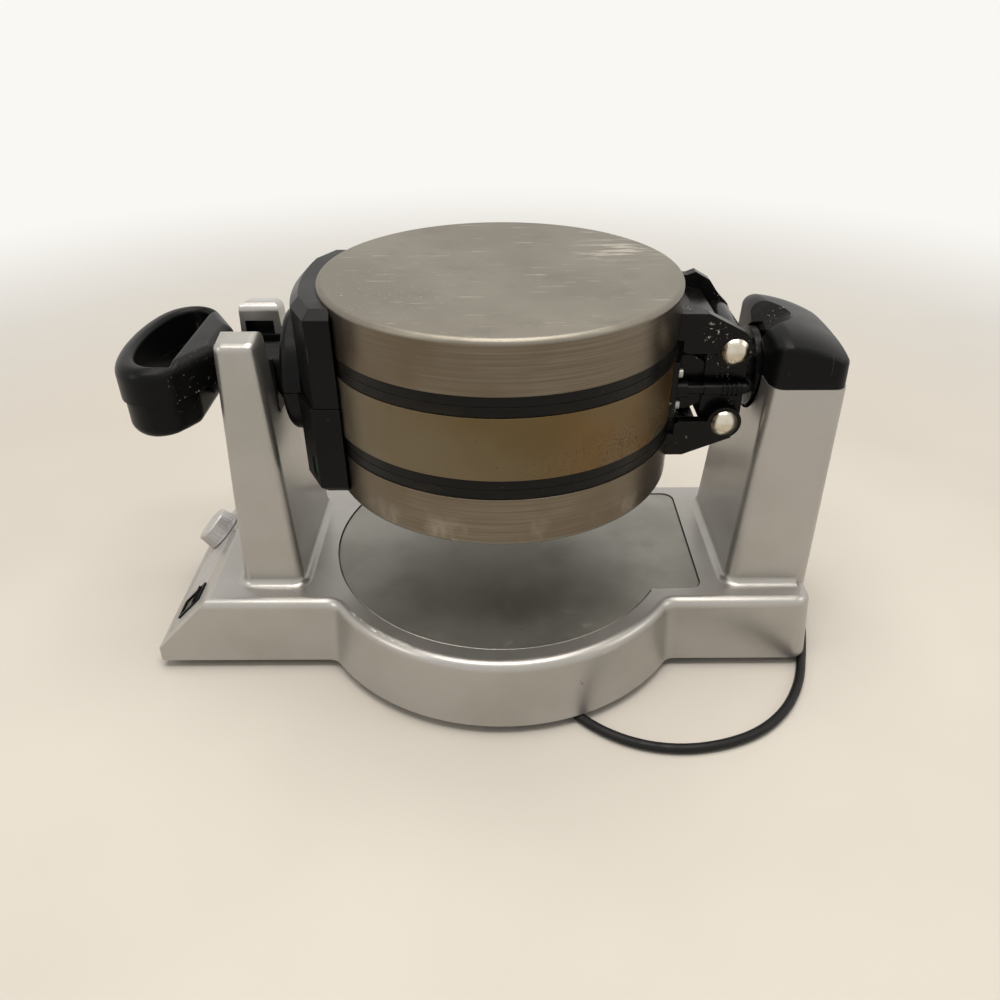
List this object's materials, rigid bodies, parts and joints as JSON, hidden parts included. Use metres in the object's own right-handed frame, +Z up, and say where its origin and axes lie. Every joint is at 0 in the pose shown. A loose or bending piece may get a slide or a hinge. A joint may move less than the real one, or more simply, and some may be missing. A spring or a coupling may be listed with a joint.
{
  "type": "belgian waffle maker",
  "caption": "Countertop waffle maker whose round double iron turns over between two towers, with hinged lids, a split looped handle and a drip tray.",
  "frame": {"origin": "middle of the footprint on the surface it stands on, under the object's box without its cord", "axes": "+X from the handle end to the right tower, +Y from the front to the back, +Z up"},
  "size_m": [0.4457, 0.3637, 0.2425],
  "materials": {
    "silver_paint": "satin metallic paint",
    "tray_metal": "satin, lightly stained",
    "lid_steel": "brushed, worn",
    "housing_steel": "heat tinted, baked grease",
    "plate_cast": "dark non-stick coating",
    "black_plastic": "moulded, fine grain",
    "gloss_black": "smooth, glossy",
    "pin_nickel": "polished",
    "plain_steel": "bare",
    "bronze": "sintered",
    "heater_sheath": "dull",
    "knob_silver": "satin",
    "panel_grey": "satin",
    "board_green": "matt",
    "lens_green": "clear moulding",
    "rubber_black": "matt",
    "cord_black": "soft sheath",
    "blade_brass": "plain"
  },
  "bodies": {
    "base": {"base_housing": "silver_paint", "left_tower": "silver_paint", "right_tower": "silver_paint", "drip_tray": "tray_metal", "bottom_cover": "plain_steel", "rubber_feet": "rubber_black", "cover_screws": "plain_steel", "control_panel": "panel_grey", "cradle_liner": "black_plastic", "tower_cap": "black_plastic", "shaft_frame": "plain_steel", "inner_bearing": "bronze", "outer_bearing": "bronze", "circuit_board": "board_green", "dial_potentiometer": "black_plastic", "switch_body": "black_plastic", "indicator_lights": "lens_green", "base_wiring": "cord_black", "strain_relief": "rubber_black", "power_cord": "cord_black", "cord_coil": "cord_black", "power_plug": "cord_black", "plug_blades": "blade_brass"},
    "knob": {"control_knob": "knob_silver", "dial_shaft": "plain_steel"},
    "rocker": {"power_rocker": "gloss_black"},
    "drum": {"mid_housing": "housing_steel", "upper_mid_plate": "plate_cast", "lower_mid_plate": "plate_cast", "upper_mid_heater": "heater_sheath", "lower_mid_heater": "heater_sheath", "hinge_bracket": "gloss_black", "bracket_screws": "plain_steel", "upper_hinge_pin": "pin_nickel", "lower_hinge_pin": "pin_nickel", "rotor_shaft": "gloss_black", "retaining_ring": "plain_steel", "cable_conduit": "black_plastic", "drum_wiring": "cord_black"},
    "upper_lid": {"upper_lid": "lid_steel", "upper_plate": "plate_cast", "upper_heater": "heater_sheath", "upper_hinge_arms": "gloss_black", "upper_arm_screws": "plain_steel", "upper_cover": "black_plastic", "upper_handle": "black_plastic", "upper_handle_screws": "plain_steel"},
    "lower_lid": {"lower_lid": "lid_steel", "lower_plate": "plate_cast", "lower_heater": "heater_sheath", "lower_hinge_arms": "gloss_black", "lower_arm_screws": "plain_steel", "lower_cover": "black_plastic", "lower_handle": "black_plastic", "lower_handle_screws": "plain_steel", "cover_lens": "lens_green"}
  },
  "joints": [
    {"name": "drum_turn", "type": "hinge", "parent": "base", "child": "drum", "pos_m": [0.1815, 0, 0.1825], "axis": [1, 0, 0], "range_deg": [-180, 0]},
    {"name": "upper_lid_hinge", "type": "hinge", "parent": "drum", "child": "upper_lid", "pos_m": [0.1445, 0, 0.20525], "axis": [0, 1, 0], "range_deg": [0, 82]},
    {"name": "lower_lid_hinge", "type": "hinge", "parent": "drum", "child": "lower_lid", "pos_m": [0.1445, 0, 0.15975], "axis": [0, 1, 0], "range_deg": [-0.25, 0]},
    {"name": "knob_turn", "type": "hinge", "parent": "base", "child": "knob", "pos_m": [-0.1995, 0.034, 0.04006], "axis": [-0.7122, 0, 0.702], "range_deg": [0, 270]},
    {"name": "rocker_tilt", "type": "hinge", "parent": "base", "child": "rocker", "pos_m": [-0.1913, -0.044, 0.03128], "axis": [0, 1, 0], "range_deg": [0, 16]}
  ]
}
